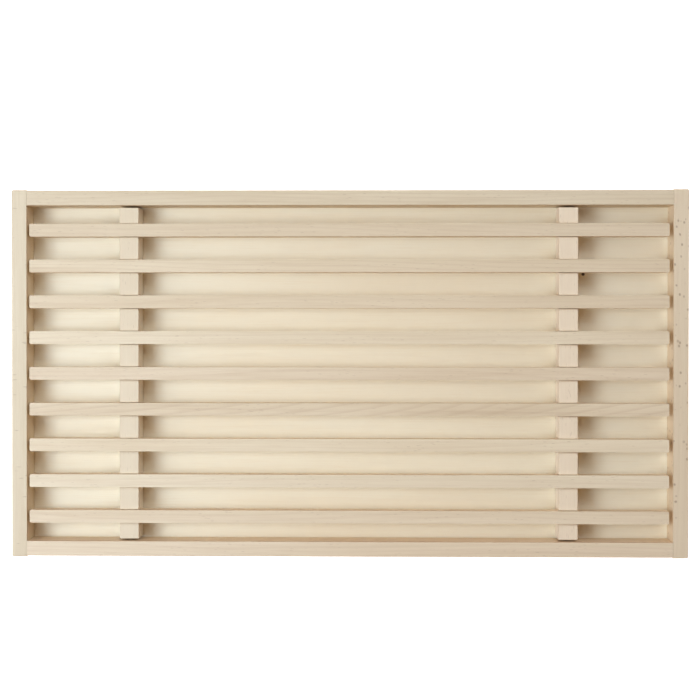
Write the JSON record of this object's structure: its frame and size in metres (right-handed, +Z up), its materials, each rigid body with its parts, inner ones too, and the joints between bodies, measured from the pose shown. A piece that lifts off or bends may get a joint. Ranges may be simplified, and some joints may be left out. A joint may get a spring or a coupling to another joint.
{
  "type": "slatted bread board with crumb tray",
  "caption": "Shallow rectangular beech tray with a closed plywood base, holding a loose lift-out grid of parallel slats notched into cross battens.",
  "frame": {"origin": "on the table, under the middle of the board", "axes": "+X along the slats towards the right stile, +Y across the slats towards the back rail, +Z up"},
  "size_m": [0.4, 0.2176, 0.025],
  "materials": {
    "beech_frame": "planed and lightly sanded pale beech, bare, matt",
    "plywood_panel": "pale rotary-cut plywood face, bare, matt",
    "beech_dowel": "compressed beech dowel, hidden in the corners",
    "beech_slat": "planed pale beech with fine straight grain, bare, matt",
    "beech_batten": "planed pale beech with a faint pink cast, bare, matt",
    "steel_brad": "bright drawn wire"
  },
  "bodies": {
    "tray": {"rail_front": "beech_frame", "rail_back": "beech_frame", "stile_left": "beech_frame", "stile_right": "beech_frame", "base_panel": "plywood_panel", "dowel_front_left_lower": "beech_dowel", "dowel_front_left_upper": "beech_dowel", "dowel_front_right_lower": "beech_dowel", "dowel_front_right_upper": "beech_dowel", "dowel_back_left_lower": "beech_dowel", "dowel_back_left_upper": "beech_dowel", "dowel_back_right_lower": "beech_dowel", "dowel_back_right_upper": "beech_dowel"},
    "grid": {"slat_1": "beech_slat", "slat_2": "beech_slat", "slat_3": "beech_slat", "slat_4": "beech_slat", "slat_5": "beech_slat", "slat_6": "beech_slat", "slat_7": "beech_slat", "slat_8": "beech_slat", "slat_9": "beech_slat", "batten_left": "beech_batten", "batten_right": "beech_batten", "brad_left_1": "steel_brad", "brad_left_2": "steel_brad", "brad_left_3": "steel_brad", "brad_left_4": "steel_brad", "brad_left_5": "steel_brad", "brad_left_6": "steel_brad", "brad_left_7": "steel_brad", "brad_left_8": "steel_brad", "brad_left_9": "steel_brad", "brad_right_1": "steel_brad", "brad_right_2": "steel_brad", "brad_right_3": "steel_brad", "brad_right_4": "steel_brad", "brad_right_5": "steel_brad", "brad_right_6": "steel_brad", "brad_right_7": "steel_brad", "brad_right_8": "steel_brad", "brad_right_9": "steel_brad"}
  },
  "joints": [
    {"name": "grid_lift", "type": "slide", "parent": "tray", "child": "grid", "axis": [0, 0, 1], "range_m": [0, 0.06]}
  ]
}
